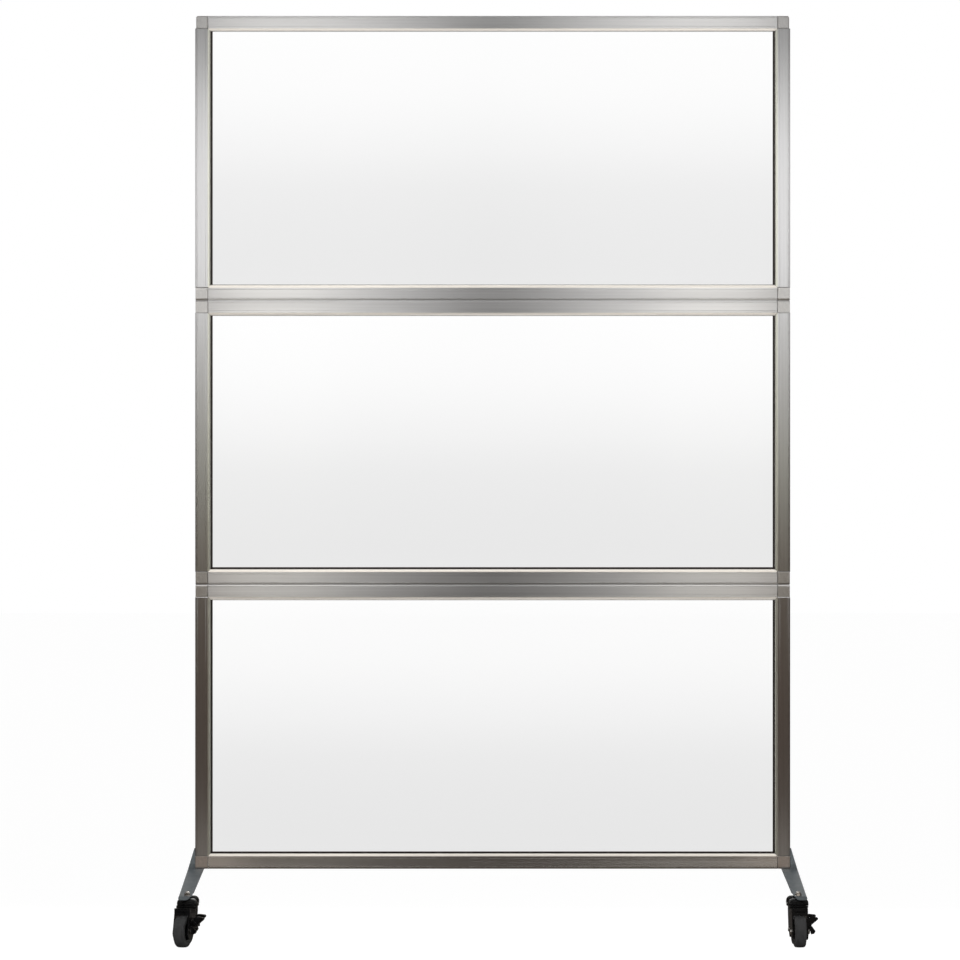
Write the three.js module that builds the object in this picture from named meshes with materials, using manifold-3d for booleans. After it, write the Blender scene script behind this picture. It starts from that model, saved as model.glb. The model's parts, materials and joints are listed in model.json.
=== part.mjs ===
import * as THREE from 'three';
import { mergeVertices } from 'three/addons/utils/BufferGeometryUtils.js';
import Module from 'manifold-3d';

// A clear mobile screen: three framed sections stacked on two legs with four braked casters.
// Lengths are in millimetres. X runs across the screen, -Y is its front and +Z is up.

// General
const seatGap = 0.3; // between pieces that rest on or lie inside each other
const overrun = 2; // how far a cutting shape runs past what it cuts
const boltSides = 12;
const hexSides = 6;

// Framed sections
const sectionNames = ['lower', 'middle', 'upper'];
const frameWidth = 1430;
const sectionHeight = 683;
const floorToFrame = 185.5;

// Aluminium profile: a hollow box with a sloping bead on each side of the glazing channel
const faceWidth = 30;
const profileDepth = 32;
const profileWall = 2;
const edgeChamfer = 1.5;
const grooveInset = 3.5;
const grooveWidth = 1;
const grooveDepth = 0.6;
const beadReach = 6.5;
const beadRootInset = 3.8; // from the front face back to the bead's root
const beadNoseInset = 8; // from the front face back to the bead's nose
const channelWidth = 10;

// Pane and gasket
const paneThickness = 5;
const gasketFloor = 2.4;
const gasketShowSide = 5.5; // how far the gasket stands out past the bead
const gasketShowBottom = 5; // in the lower and middle section
const gasketShowTop = 1; // and at the bottom of the upper section

// Corner blocks
const blockInset = 0.8; // outer side of a block behind the stile's outer face
const blockRelief = 0.5; // block behind the front and rear faces
const blockRounding = 2;
const topBlockInset = 2.4; // the same at the screen's two top corners
const topBlockRounding = 5;
const tenonLength = 34;

// Spigots that locate each section on the one below, and the lowest one on the legs
const spigotRadius = 3;
const spigotReach = 18;
const legSpigotSpacing = 16; // front to rear
const legSpigotInset = 12.5; // from the frame's outer face

// Casters
const casterSpacing = 520; // front axis to rear axis
const casterOut = 17; // swivel axis outside the frame's outer face
const leftYawDegrees = -17;
const rightYawDegrees = 5;
const trail = 38;
const wheelDiameter = 75;
const tyreWidth = 28;
const tyreHeight = 14;
const tyreShoulder = 4;
const tyreBevel = 1.2;
const tyreSides = 24;
const wheelSides = 20;
const wheelSideGap = 2;
const wheelBoreGap = 0.4;
const wheelHubRadius = 10;
const wheelHubGap = 1.5; // hub end to fork wall
const wheelWebThickness = 8;
const wheelRimThickness = 2.8;
const wheelRimInset = 1.5;
const axleRadius = 4;
const axleHeadWidth = 11; // across flats
const axleHeadHeight = 3.5;
const axleEnd = 1; // thread past the nut
const forkWall = 3.5;
const forkEndRadius = 19;
const forkYokeFront = 10; // ahead of the swivel axis
const forkYokeBack = 42; // behind the swivel axis
const forkYokeGap = 7; // tyre to yoke
const forkYokeThickness = 12;
const forkYokeBevel = 5;
const raceRadius = 24;
const raceHeight = 6;
const raceGroove = 1.2;
const swivelGap = 0.4;
const kingpinRadius = 5;
const kingpinHeadRadius = 8;
const kingpinHeadHeight = 4;
const headRadius = 25;
const headSkirt = 5.6;
const headDomeRise = 12;
const headTopRadius = 13;
const headDomeSteps = 3;
const headSides = 20;
const stemRadius = 4;

// Brake rocker on the side of each fork
const brakePivotOut = 6; // from the fork's outer face
const brakePivotUp = 18.5; // above the axle
const brakePivotAhead = 25; // ahead of the axle
const rockerHeight = 40;
const brakeWidth = 13;
const brakeEarThickness = 4;
const brakeEarRadius = 4.6;
const brakeEarRise = 12; // ear's root above the pivot
const brakeEarGap = 0.5;
const brakePinRadius = 2;
const brakeSlotGap = 0.5;
const brakeSlotBelow = 13; // slot's lower edge under the pivot
const brakeSlotAbove = 1.5; // slot's upper edge under the pivot
const brakeShelf = 3; // fork wall behind and under the slot
const brakeNoseReach = 8.8; // from the pivot toward the tyre
const brakeNoseTop = 6.5; // under the pivot
const brakeNoseBottom = 12;
const brakeLinkInner = 0.5; // outward from the pivot
const brakeLinkOuter = 4.5;
const brakeLinkTop = 5.5; // under the pivot
const brakeLinkBottom = 10;
const releasePadBack = 25; // lower pad's near side behind the pivot
const releasePadWidth = 14;
const releaseLipWidth = 5; // the pad's far end, which reaches in past the axle's nut

// Legs
const legTop = 235;
const legTopThickness = 2; // beside the frame at the leg's top
const legRootWidth = 21.4; // under the frame, in from its outer face
const footOuterReach = 19; // from the swivel axis, at the foot plate
const footInnerReach = 11;
const bracketPlateThickness = 8;
const bracketHalfWidth = 30;
const bracketTopHalfWidth = 18;
const bracketShoulder = 12; // above the frame's underside
const legPlateThickness = 4;
const armRootDepth = 14;
const armFootDepth = 9;
const armBend = 30; // flat foot plate starts this far inboard of the caster axis
const footLipDrop = 5; // lip under the foot plate
const footLipThickness = 3;
const footLipGap = 0.5; // lip to swivel head
const footOuterRounding = 5;
const footInnerRounding = 11;

// Cap nuts on the stems
const nutFlangeRadius = 8.5;
const nutFlangeHeight = 1.5;
const nutWidth = 13; // across flats
const nutHexHeight = 5;
const nutDomeHeight = 5.6;
const nutDomeSteps = 3;
const nutRoofThickness = 3;

// Places worked out from the sizes above
const frameSide = frameWidth / 2;
const casterAxisX = frameSide + casterOut;
const legInnerTop = frameSide - legRootWidth;
const legOuterFoot = casterAxisX + footOuterReach;
const legInnerFoot = casterAxisX - footInnerReach;
const sectionPitch = sectionHeight + seatGap;
const boreGap = seatGap;
const wheelRadius = wheelDiameter / 2;
const forkInner = tyreWidth / 2 + wheelSideGap;
const forkOuter = forkInner + forkWall;
const yokeBottom = wheelDiameter + forkYokeGap;
const yokeTop = yokeBottom + forkYokeThickness;
const raceTop = yokeTop + raceHeight;
const headBottom = raceTop + swivelGap;
const headTop = headBottom + headSkirt + headDomeRise;
const footPlateBottom = headTop + seatGap;
const footPlateTop = footPlateBottom + legPlateThickness;
const nutBottom = footPlateTop + seatGap;
const nutTop = nutBottom + nutFlangeHeight + nutHexHeight + nutDomeHeight;
const stemTop = nutTop - nutRoofThickness - seatGap;
const casterAxisY = casterSpacing / 2;
const legRoof = floorToFrame - seatGap;
const brakePivot = {
  x: forkOuter + brakePivotOut,
  y: brakePivotAhead - trail,
  z: wheelRadius + brakePivotUp,
};
const degrees = THREE.MathUtils.degToRad;

// Solids and their cuts

const wasm = await Module();
wasm.setup();

function toSolid(geometry) {
  const bare = geometry.clone();
  bare.deleteAttribute('normal');
  bare.deleteAttribute('uv');
  const welded = mergeVertices(bare);
  return new wasm.Manifold(new wasm.Mesh({
    numProp: 3,
    vertProperties: new Float32Array(welded.attributes.position.array),
    triVerts: new Uint32Array(welded.index.array),
  }));
}

function toGeometry(solid) {
  const mesh = solid.getMesh();
  const geometry = new THREE.BufferGeometry();
  geometry.setAttribute('position', new THREE.BufferAttribute(mesh.vertProperties, mesh.numProp));
  geometry.setIndex(new THREE.BufferAttribute(mesh.triVerts, 1));
  return geometry;
}

function join(...pieces) {
  return toGeometry(pieces.map(toSolid).reduce((all, piece) => all.add(piece)));
}

function cut(piece, ...tools) {
  return toGeometry(tools.map(toSolid).reduce((rest, tool) => rest.subtract(tool), toSolid(piece)));
}

function common(first, second) {
  return toGeometry(toSolid(first).intersect(toSolid(second)));
}

// Outlines are lists of [across, up] points. Each of these runs one from start to end along an axis.

function prism(points, length) {
  const shape = new THREE.Shape(points.map(([across, up]) => new THREE.Vector2(across, up)));
  return new THREE.ExtrudeGeometry(shape, { depth: length, bevelEnabled: false });
}

function alongX(pointsYZ, start, end) {
  const turn = new THREE.Matrix4().makeBasis(
    new THREE.Vector3(0, 1, 0), new THREE.Vector3(0, 0, 1), new THREE.Vector3(1, 0, 0));
  return prism(pointsYZ, end - start).applyMatrix4(turn).translate(start, 0, 0);
}

function alongY(pointsXZ, start, end) {
  return prism(pointsXZ, end - start).rotateX(Math.PI / 2).translate(0, end, 0);
}

function alongZ(pointsXY, start, end) {
  return prism(pointsXY, end - start).translate(0, 0, start);
}

function rectangle(left, right, bottom, top) {
  return [[left, bottom], [right, bottom], [right, top], [left, top]];
}

function box(xRange, yRange, zRange) {
  return alongZ(rectangle(...xRange, ...yRange), ...zRange);
}

function turnToAxis(geometry, axis) {
  if (axis === 'x') return geometry.rotateZ(-Math.PI / 2);
  if (axis === 'z') return geometry.rotateX(Math.PI / 2);
  return geometry;
}

function rod(axis, radius, start, end, sides = boltSides) {
  const geometry = new THREE.CylinderGeometry(radius, radius, end - start, sides);
  return turnToAxis(geometry.translate(0, (start + end) / 2, 0), axis);
}

function hexRod(axis, acrossFlats, start, end) {
  const cornerRadius = acrossFlats / 2 / Math.cos(Math.PI / hexSides);
  return rod(axis, cornerRadius, start, end, hexSides);
}

// Points are [radius, height] and keep the solid on their left.
function turned(axis, points, sides) {
  const profile = points.map(([radius, height]) => new THREE.Vector2(radius, height));
  return turnToAxis(new THREE.LatheGeometry(profile, sides), axis);
}

function arc(centre, radius, fromDegrees, toDegrees, steps) {
  return Array.from({ length: steps + 1 }, (_, step) => {
    const angle = degrees(fromDegrees + (toDegrees - fromDegrees) * step / steps);
    return [centre[0] + radius * Math.cos(angle), centre[1] + radius * Math.sin(angle)];
  });
}

function piece(name, geometry, { color, roughness, metalness, opacity = 1 }) {
  const material = new THREE.MeshStandardMaterial({
    color, roughness, metalness, opacity, transparent: opacity < 1,
  });
  const mesh = new THREE.Mesh(geometry, material);
  mesh.name = name;
  return mesh;
}

// Finishes
const satinAluminium = { color: 0xb4b1ad, roughness: 0.35, metalness: 1 };
const castAluminium = { color: 0xa8a5a1, roughness: 0.45, metalness: 1 };
const clearSheet = { color: 0xf4f6f6, roughness: 0.05, metalness: 0, opacity: 0.25 };
const blackRubber = { color: 0x1a1514, roughness: 0.7, metalness: 0 };
const slatePaint = { color: 0x5e6364, roughness: 0.5, metalness: 0.2 };
const brightSteel = { color: 0xc9c5bd, roughness: 0.25, metalness: 1 };
const blackPlastic = { color: 0x111112, roughness: 0.4, metalness: 0 };
const greyTread = { color: 0x343435, roughness: 0.75, metalness: 0 };

// A bar's section is given as [inward, depth] points: inward from the frame's outer edge toward the
// pane, depth from its middle plane. Its ends stand square against the corner blocks as far as the
// face is wide, and are mitred from there on.
function mitredBar(outline, hollow, length) {
  const toPoints = (places) => places.map(([inward, depth]) => new THREE.Vector2(inward, depth));
  const shape = new THREE.Shape(toPoints(outline));
  shape.holes.push(new THREE.Path(toPoints(hollow)));
  const geometry = new THREE.ExtrudeGeometry(shape, { depth: length, bevelEnabled: false });
  const place = geometry.attributes.position;
  for (let index = 0; index < place.count; index += 1) {
    const setback = Math.max(place.getX(index), faceWidth) + seatGap;
    place.setZ(index, place.getZ(index) === 0 ? setback : length - setback);
  }
  return geometry;
}

function mirroredOutline(upperHalf) {
  const lowerHalf = upperHalf.map(([inward, depth]) => [inward, -depth]).reverse();
  return [...upperHalf, ...lowerHalf];
}

function profileBar(length) {
  const front = profileDepth / 2;
  const grooveBed = front - grooveDepth;
  const innerGroove = faceWidth - grooveInset - grooveWidth;
  const bead = faceWidth + beadReach;
  const outline = mirroredOutline([
    [0, front - edgeChamfer],
    [edgeChamfer, front],
    [grooveInset, front],
    [grooveInset, grooveBed],
    [grooveInset + grooveWidth, grooveBed],
    [grooveInset + grooveWidth, front],
    [innerGroove, front],
    [innerGroove, grooveBed],
    [innerGroove + grooveWidth, grooveBed],
    [innerGroove + grooveWidth, front],
    [faceWidth, front],
    [faceWidth, front - beadRootInset],
    [bead, front - beadNoseInset],
    [bead, channelWidth / 2],
    [faceWidth, channelWidth / 2],
  ]);
  const hollow = rectangle(profileWall, faceWidth - profileWall, profileWall - front, front - profileWall);
  return mitredBar(outline, hollow, length);
}

// The four bars of a section: how each one is turned and where it starts
const bars = [
  { name: 'left_stile', length: sectionHeight, turn: [0, 0, 0], at: [-frameSide, 0, 0] },
  { name: 'right_stile', length: sectionHeight, turn: [0, 0, Math.PI], at: [frameSide, 0, 0] },
  { name: 'bottom_rail', length: frameWidth, turn: [0, -Math.PI / 2, 0], at: [frameSide, 0, 0] },
  { name: 'top_rail', length: frameWidth, turn: [0, Math.PI / 2, 0], at: [-frameSide, 0, sectionHeight] },
];

// The four corners of a section, each the bottom left block turned into place
const corners = [
  { name: 'bottom_left', turn: [0, 0, 0], at: [-frameSide, 0, 0] },
  { name: 'bottom_right', turn: [0, 0, Math.PI], at: [frameSide, 0, 0] },
  { name: 'top_left', turn: [Math.PI, 0, 0], at: [-frameSide, 0, sectionHeight] },
  { name: 'top_right', turn: [0, Math.PI, 0], at: [frameSide, 0, sectionHeight] },
];

// A box inside a section, inset from the frame's outer edges and as deep as twice halfDepth
function insetBox(side, bottom, top, halfDepth) {
  return box([side - frameSide, frameSide - side], [-halfDepth, halfDepth], [bottom, sectionHeight - top]);
}

// One seal runs all round the pane, with its slot open toward the middle.
function gasket(showBottom) {
  const root = faceWidth + seatGap;
  const floor = root + gasketFloor;
  const bead = faceWidth + beadReach;
  const outer = channelWidth / 2 - seatGap;
  const inner = paneThickness / 2 + seatGap;
  const shows = [gasketShowSide, showBottom, gasketShowTop];
  const opening = insetBox(...shows.map((show) => bead + show), profileDepth);
  return cut(insetBox(root, root, root, outer), opening, insetBox(floor, floor, floor, inner));
}

function pane() {
  const edge = faceWidth + seatGap + gasketFloor + seatGap;
  return insetBox(edge, edge, edge, paneThickness / 2);
}

// A block with a tenon into the rail and one into the stile, drawn for the bottom left corner. Its
// joint is a spigot that stands out of it, or the bores that take one.
function cornerBlock(joint) {
  const [inset, rounding] = joint === 'plain'
    ? [topBlockInset, topBlockRounding]
    : [blockInset, blockRounding];
  const front = profileDepth / 2 - blockRelief;
  const tenonDepth = profileDepth / 2 - profileWall - seatGap;
  const tenonEdge = profileWall + seatGap;
  const tenonEnd = faceWidth + tenonLength;
  const corner = [inset + rounding, rounding];
  const faceOutline = [
    ...arc(corner, rounding, 180, 270, 4),
    [faceWidth, 0],
    [faceWidth, faceWidth],
    [inset, faceWidth],
  ];
  const body = alongY(faceOutline, -front, front);
  const depthRange = [-tenonDepth, tenonDepth];
  const lengthRange = [faceWidth - overrun, tenonEnd];
  const railTenon = box(lengthRange, depthRange, [tenonEdge, faceWidth - tenonEdge]);
  const stileTenon = box([tenonEdge, faceWidth - tenonEdge], depthRange, lengthRange);
  const block = join(body, railTenon, stileTenon);
  const middle = (blockInset + faceWidth) / 2;
  const bore = rod('z', spigotRadius + boreGap, -overrun, spigotReach + seatGap);
  const joints = {
    plain: () => block,
    spigot: () => join(block, rod('z', spigotRadius, -spigotReach, overrun).translate(middle, 0, 0)),
    bore: () => cut(block, bore.translate(middle, 0, 0)),
    legBores: () => cut(block, ...[-1, 1].map((end) => (
      bore.clone().translate(legSpigotInset, end * legSpigotSpacing / 2, 0)))),
  };
  return joints[joint]();
}

function section(name, level) {
  const group = new THREE.Group();
  group.position.z = floorToFrame + level * sectionPitch;
  const place = (mesh, { turn, at }) => {
    mesh.rotation.set(...turn);
    mesh.position.set(...at);
    group.add(mesh);
  };
  for (const bar of bars) {
    place(piece(`${name}_${bar.name}`, profileBar(bar.length), satinAluminium), bar);
  }
  const lowest = level === 0;
  const highest = level === sectionNames.length - 1;
  for (const corner of corners) {
    const atTop = corner.name.startsWith('top');
    const topJoint = highest ? 'plain' : 'spigot';
    const bottomJoint = lowest ? 'legBores' : 'bore';
    const block = cornerBlock(atTop ? topJoint : bottomJoint);
    place(piece(`${name}_${corner.name}_corner`, block, castAluminium), corner);
  }
  const gasketBottom = highest ? gasketShowTop : gasketShowBottom;
  group.add(piece(`${name}_gasket`, gasket(gasketBottom), blackRubber));
  group.add(piece(`${name}_pane`, pane(), clearSheet));
  return group;
}

// The leg as seen from the front: straight outer and inner edges from the frame down to the foot
function legEdges() {
  const outerTop = frameSide + legTopThickness;
  const outerSlope = (legOuterFoot - outerTop) / (legTop - footPlateTop);
  const innerSlope = (legInnerFoot - legInnerTop) / (legRoof - footPlateTop);
  return {
    outerAt: (height) => outerTop + (legTop - height) * outerSlope,
    innerAt: (height) => legInnerTop + (legRoof - height) * innerSlope,
  };
}

function mirrorAcross(points, side) {
  return points.map(([across, up]) => [side * across, up]);
}

function ordered(first, second) {
  return [Math.min(first, second), Math.max(first, second)];
}

// The bracket carries the frame's corner on its plate and reaches up beside it.
function bracket(side) {
  const { outerAt, innerAt } = legEdges();
  const plateBottom = legRoof - bracketPlateThickness;
  const inside = frameSide + seatGap;
  const frontOutline = mirrorAcross([
    [innerAt(legRoof), legRoof],
    [innerAt(plateBottom), plateBottom],
    [outerAt(plateBottom), plateBottom],
    [outerAt(legTop), legTop],
    [inside, legTop],
    [inside, legRoof],
  ], side);
  const shoulder = floorToFrame + bracketShoulder;
  const sideOutline = [
    [-bracketHalfWidth, plateBottom],
    [bracketHalfWidth, plateBottom],
    [bracketHalfWidth, shoulder],
    [bracketTopHalfWidth, legTop],
    [-bracketTopHalfWidth, legTop],
    [-bracketHalfWidth, shoulder],
  ];
  const reach = ordered(side * legInnerTop, side * legOuterFoot);
  const frontSlab = alongY(frontOutline, -bracketHalfWidth, bracketHalfWidth);
  const body = common(frontSlab, alongX(sideOutline, ...reach));
  const spigot = rod('z', spigotRadius, legRoof - overrun, floorToFrame + spigotReach);
  const spigots = [-1, 1].map((end) => (
    spigot.clone().translate(side * (frameSide - legSpigotInset), end * legSpigotSpacing / 2, 0)));
  return join(body, ...spigots);
}

// An arm is a channel with its web on top, seen from the side as a slope that ends in a flat foot
// plate with a lip in front of the swivel head.
function arm(side, end) {
  const { outerAt, innerAt } = legEdges();
  const root = bracketHalfWidth - overrun;
  const bend = casterAxisY - armBend;
  const flangeEnd = casterAxisY - headRadius - footLipGap;
  const lipInner = casterAxisY + headRadius + footLipGap;
  const tip = lipInner + footLipThickness;
  const lipBottom = footPlateBottom - footLipDrop;
  const webRise = (legRoof - footPlateTop) / (bend - bracketHalfWidth);
  const webDrop = legPlateThickness * Math.hypot(1, webRise);
  const flangeBottom = footPlateTop - armFootDepth;
  const sideOutline = mirrorAcross([
    [root, legRoof],
    [root, legRoof - armRootDepth],
    [flangeEnd, flangeBottom],
    [flangeEnd, footPlateBottom],
    [lipInner, footPlateBottom],
    [lipInner, lipBottom],
    [tip, lipBottom],
    [tip, footPlateTop],
    [bend, footPlateTop],
    [bracketHalfWidth, legRoof],
  ], end);
  const hollowOutline = mirrorAcross([
    [bracketHalfWidth, legRoof - webDrop],
    [bracketHalfWidth, flangeBottom - overrun],
    [flangeEnd + overrun, flangeBottom - overrun],
    [flangeEnd + overrun, footPlateBottom],
    [bend, footPlateBottom],
  ], end);
  const outerCorner = [outerAt(lipBottom) - footOuterRounding, lipBottom + footOuterRounding];
  const innerCorner = [innerAt(lipBottom) + footInnerRounding, lipBottom + footInnerRounding];
  const frontOutline = mirrorAcross([
    [innerAt(legRoof), legRoof],
    [innerAt(lipBottom + footInnerRounding), lipBottom + footInnerRounding],
    ...arc(innerCorner, footInnerRounding, 210, 270, 4),
    ...arc(outerCorner, footOuterRounding, 270, 350, 4),
    [outerAt(legRoof), legRoof],
  ], side);
  const insetOutline = mirrorAcross([
    [innerAt(legRoof) + legPlateThickness, legRoof],
    [innerAt(lipBottom) + legPlateThickness, lipBottom],
    [outerAt(lipBottom) - legPlateThickness, lipBottom],
    [outerAt(legRoof) - legPlateThickness, legRoof],
  ], side);
  const reach = ordered(side * legInnerTop, side * outerAt(lipBottom));
  const length = ordered(end * (root - overrun), end * (tip + overrun));
  const body = common(alongY(frontOutline, ...length), alongX(sideOutline, ...reach));
  const hollow = common(alongY(insetOutline, ...length), alongX(hollowOutline, ...reach));
  const stemHole = rod('z', stemRadius + boreGap, footPlateBottom - overrun, footPlateTop + overrun)
    .translate(side * casterAxisX, end * casterAxisY, 0);
  return cut(body, hollow, stemHole);
}

function leg(side) {
  return join(bracket(side), arm(side, -1), arm(side, 1));
}

// Caster pieces stand at the swivel axis, with the wheel trailing toward -Y and its axle along X.

function swivelHead() {
  const skirtTop = headBottom + headSkirt;
  const kingpinTop = yokeBottom - seatGap;
  const dome = Array.from({ length: headDomeSteps + 1 }, (_, step) => {
    const angle = Math.PI / 2 * step / headDomeSteps;
    const radius = headTopRadius + (headRadius - headTopRadius) * Math.cos(angle);
    return [radius, skirtTop + headDomeRise * Math.sin(angle)];
  });
  return turned('z', [
    [0, kingpinTop - kingpinHeadHeight],
    [kingpinHeadRadius, kingpinTop - kingpinHeadHeight],
    [kingpinHeadRadius, kingpinTop],
    [kingpinRadius, kingpinTop],
    [kingpinRadius, headBottom],
    [headRadius, headBottom],
    ...dome,
    [stemRadius, headTop],
    [stemRadius, stemTop],
    [0, stemTop],
  ], headSides);
}

function capNut() {
  const hexBottom = nutBottom + nutFlangeHeight;
  const hexTop = hexBottom + nutHexHeight;
  const flange = rod('z', nutFlangeRadius, nutBottom, hexBottom + seatGap);
  const hex = hexRod('z', nutWidth, hexBottom, hexTop);
  const dome = turned('z', [
    [0, hexBottom],
    [nutWidth / 2, hexBottom],
    ...Array.from({ length: nutDomeSteps }, (_, step) => {
      const angle = Math.PI / 2 * step / nutDomeSteps;
      return [nutWidth / 2 * Math.cos(angle), hexTop + nutDomeHeight * Math.sin(angle)];
    }),
    [0, nutTop],
  ], boltSides);
  const bore = rod('z', stemRadius + boreGap, nutBottom - overrun, stemTop + seatGap);
  return cut(join(flange, hex, dome), bore);
}

function brakeEarOutline() {
  const centre = [brakePivot.x, brakePivot.z];
  const rootX = forkOuter - forkWall / 2;
  const rootTop = brakePivot.z + brakeEarRise;
  const rootBottom = brakePivot.z - brakeEarRadius / 2;
  return [
    [rootX, rootBottom],
    ...arc(centre, brakeEarRadius, -90, 60, 6),
    [rootX, rootTop],
  ];
}

function fork() {
  const bore = axleRadius + boreGap;
  const slotRange = [-1, 1].map((end) => brakePivot.y + end * (brakeWidth / 2 + brakeSlotGap));
  const slotBottom = brakePivot.z - brakeSlotBelow;
  const wallOutline = [
    [forkYokeFront, yokeTop],
    [-forkYokeBack, yokeTop],
    [-forkYokeBack, yokeBottom],
    ...arc([-trail, wheelRadius], forkEndRadius, 190, 330, 8),
    [slotRange[1] + brakeShelf, slotBottom - brakeShelf],
    [forkYokeFront, yokeBottom],
  ];
  const wallRanges = [[-forkOuter, -forkInner], [forkInner, forkOuter]];
  const walls = wallRanges.map((range) => alongX(wallOutline, ...range));
  const yokeOutline = [
    [forkYokeBevel - forkOuter, -forkYokeBack],
    [forkOuter - forkYokeBevel, -forkYokeBack],
    [forkOuter, forkYokeBevel - forkYokeBack],
    [forkOuter, forkYokeFront - forkYokeBevel],
    [forkOuter - forkYokeBevel, forkYokeFront],
    [forkYokeBevel - forkOuter, forkYokeFront],
    [-forkOuter, forkYokeFront - forkYokeBevel],
    [-forkOuter, forkYokeBevel - forkYokeBack],
  ];
  const yoke = alongZ(yokeOutline, yokeBottom, yokeTop);
  const race = turned('z', [
    [0, yokeBottom],
    [raceRadius - raceGroove, yokeBottom],
    [raceRadius - raceGroove, yokeTop + raceGroove],
    [raceRadius, yokeTop + raceGroove],
    [raceRadius, raceTop - raceGroove],
    [raceRadius - raceGroove, raceTop],
    [0, raceTop],
  ], headSides);
  const halfWidth = brakeWidth / 2 + brakeEarGap;
  const earOuter = halfWidth + brakeEarThickness;
  const ears = [[-earOuter, -halfWidth], [halfWidth, earOuter]].map(([start, end]) => (
    alongY(brakeEarOutline(), brakePivot.y + start, brakePivot.y + end)));
  const slot = box([forkInner - overrun, forkOuter + overrun], slotRange,
    [slotBottom, brakePivot.z - brakeSlotAbove]);
  const axleBore = rod('x', bore, -forkOuter - overrun, forkOuter + overrun)
    .translate(0, -trail, wheelRadius);
  const pin = rod('y', brakePinRadius, -earOuter + brakeEarGap, earOuter - brakeEarGap)
    .translate(brakePivot.x, brakePivot.y, brakePivot.z);
  const kingpinRange = [yokeBottom - overrun, raceTop + overrun];
  const kingpinBore = rod('z', kingpinRadius + swivelGap, ...kingpinRange, headSides);
  const body = cut(join(yoke, race, ...walls), slot);
  return cut(join(body, ...ears, pin), axleBore, kingpinBore);
}

function tyre() {
  const half = tyreWidth / 2;
  const inner = wheelRadius - tyreHeight;
  return turned('x', [
    [inner, -half + tyreBevel],
    [wheelRadius - tyreShoulder - tyreBevel, -half],
    [wheelRadius - tyreBevel, tyreShoulder / 2 - half],
    [wheelRadius, tyreShoulder - half + tyreBevel],
    [wheelRadius, half - tyreShoulder - tyreBevel],
    [wheelRadius - tyreBevel, half - tyreShoulder / 2],
    [wheelRadius - tyreShoulder - tyreBevel, half],
    [inner, half - tyreBevel],
    [inner, -half + tyreBevel],
  ], tyreSides).translate(0, -trail, wheelRadius);
}

function wheel() {
  const rim = wheelRadius - tyreHeight - seatGap;
  const rimHalf = tyreWidth / 2 - wheelRimInset;
  const hubHalf = forkInner - wheelHubGap;
  const webHalf = wheelWebThickness / 2;
  const bore = axleRadius + wheelBoreGap;
  return turned('x', [
    [bore, -hubHalf],
    [wheelHubRadius, -hubHalf],
    [wheelHubRadius, -webHalf],
    [rim - wheelRimThickness, -webHalf],
    [rim - wheelRimThickness, -rimHalf],
    [rim, -rimHalf],
    [rim, rimHalf],
    [rim - wheelRimThickness, rimHalf],
    [rim - wheelRimThickness, webHalf],
    [wheelHubRadius, webHalf],
    [wheelHubRadius, hubHalf],
    [bore, hubHalf],
    [bore, -hubHalf],
  ], wheelSides).translate(0, -trail, wheelRadius);
}

function axleBolt() {
  const headStart = forkOuter + seatGap;
  const headEnd = headStart + axleHeadHeight;
  const shank = rod('x', axleRadius, -headStart - seatGap, headEnd + axleEnd);
  const head = hexRod('x', axleHeadWidth, -headEnd, -headStart);
  const nut = hexRod('x', axleHeadWidth, headStart, headEnd);
  return join(shank, head, nut).translate(0, -trail, wheelRadius);
}

// The rocker's two pads seen from the front, as [outward, up] shares of its height, counted from the
// pivot. The upper pad locks the wheel by swinging the nose against the tyre. The lower one stands
// further back on a link, beside the axle, and frees the wheel again.
const lockPadShares = [
  [-0.105, 0.34],
  [0.09, 0.45],
  [0.46, 0.41],
  [0.52, 0.345],
  [0.49, 0.26],
  [0.25, 0.06],
  [0.115, -0.06],
];
const releasePadShares = [
  [0.0125, -0.1375],
  [0.0625, -0.1375],
  [0.275, -0.385],
  [0.2625, -0.475],
  [0.2, -0.5625],
  [0.12, -0.6],
];
const releaseLipShares = [
  [-0.1, -0.1375],
  [0.0625, -0.1375],
  [0.275, -0.385],
  [0.2625, -0.475],
  [0.2, -0.5625],
  [0.0125, -0.6125],
];

function brakeRocker() {
  const scaled = (shares) => shares.map(([outward, up]) => [outward * rockerHeight, up * rockerHeight]);
  const pad = scaled(lockPadShares);
  const outline = [
    ...pad,
    [pad.at(-1)[0], -brakeNoseBottom],
    [-brakeNoseReach, -brakeNoseBottom],
    [-brakeNoseReach, -brakeNoseTop],
    [pad[0][0], -brakeNoseTop],
  ];
  const padFar = -releasePadBack - releasePadWidth;
  const link = box([brakeLinkInner, brakeLinkOuter], [padFar, 0], [-brakeLinkBottom, -brakeLinkTop]);
  const lockPad = alongY(outline, -brakeWidth / 2, brakeWidth / 2);
  const releasePad = alongY(scaled(releasePadShares), padFar, -releasePadBack);
  const releaseLip = alongY(scaled(releaseLipShares), padFar, padFar + releaseLipWidth);
  const bore = rod('y', brakePinRadius + boreGap, -brakeWidth, brakeWidth);
  return cut(join(lockPad, link, releasePad, releaseLip), bore)
    .translate(brakePivot.x, brakePivot.y, brakePivot.z);
}

function caster(name, side, end, yawDegrees) {
  const group = new THREE.Group();
  group.position.set(side * casterAxisX, end * casterAxisY, 0);
  group.rotation.z = degrees(yawDegrees);
  group.add(piece(`${name}_cap_nut`, capNut(), brightSteel));
  group.add(piece(`${name}_swivel_head`, swivelHead(), blackPlastic));
  group.add(piece(`${name}_fork`, fork(), blackPlastic));
  group.add(piece(`${name}_axle_bolt`, axleBolt(), brightSteel));
  group.add(piece(`${name}_wheel`, wheel(), blackPlastic));
  group.add(piece(`${name}_tyre`, tyre(), greyTread));
  group.add(piece(`${name}_brake_rocker`, brakeRocker(), blackPlastic));
  return group;
}

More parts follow.
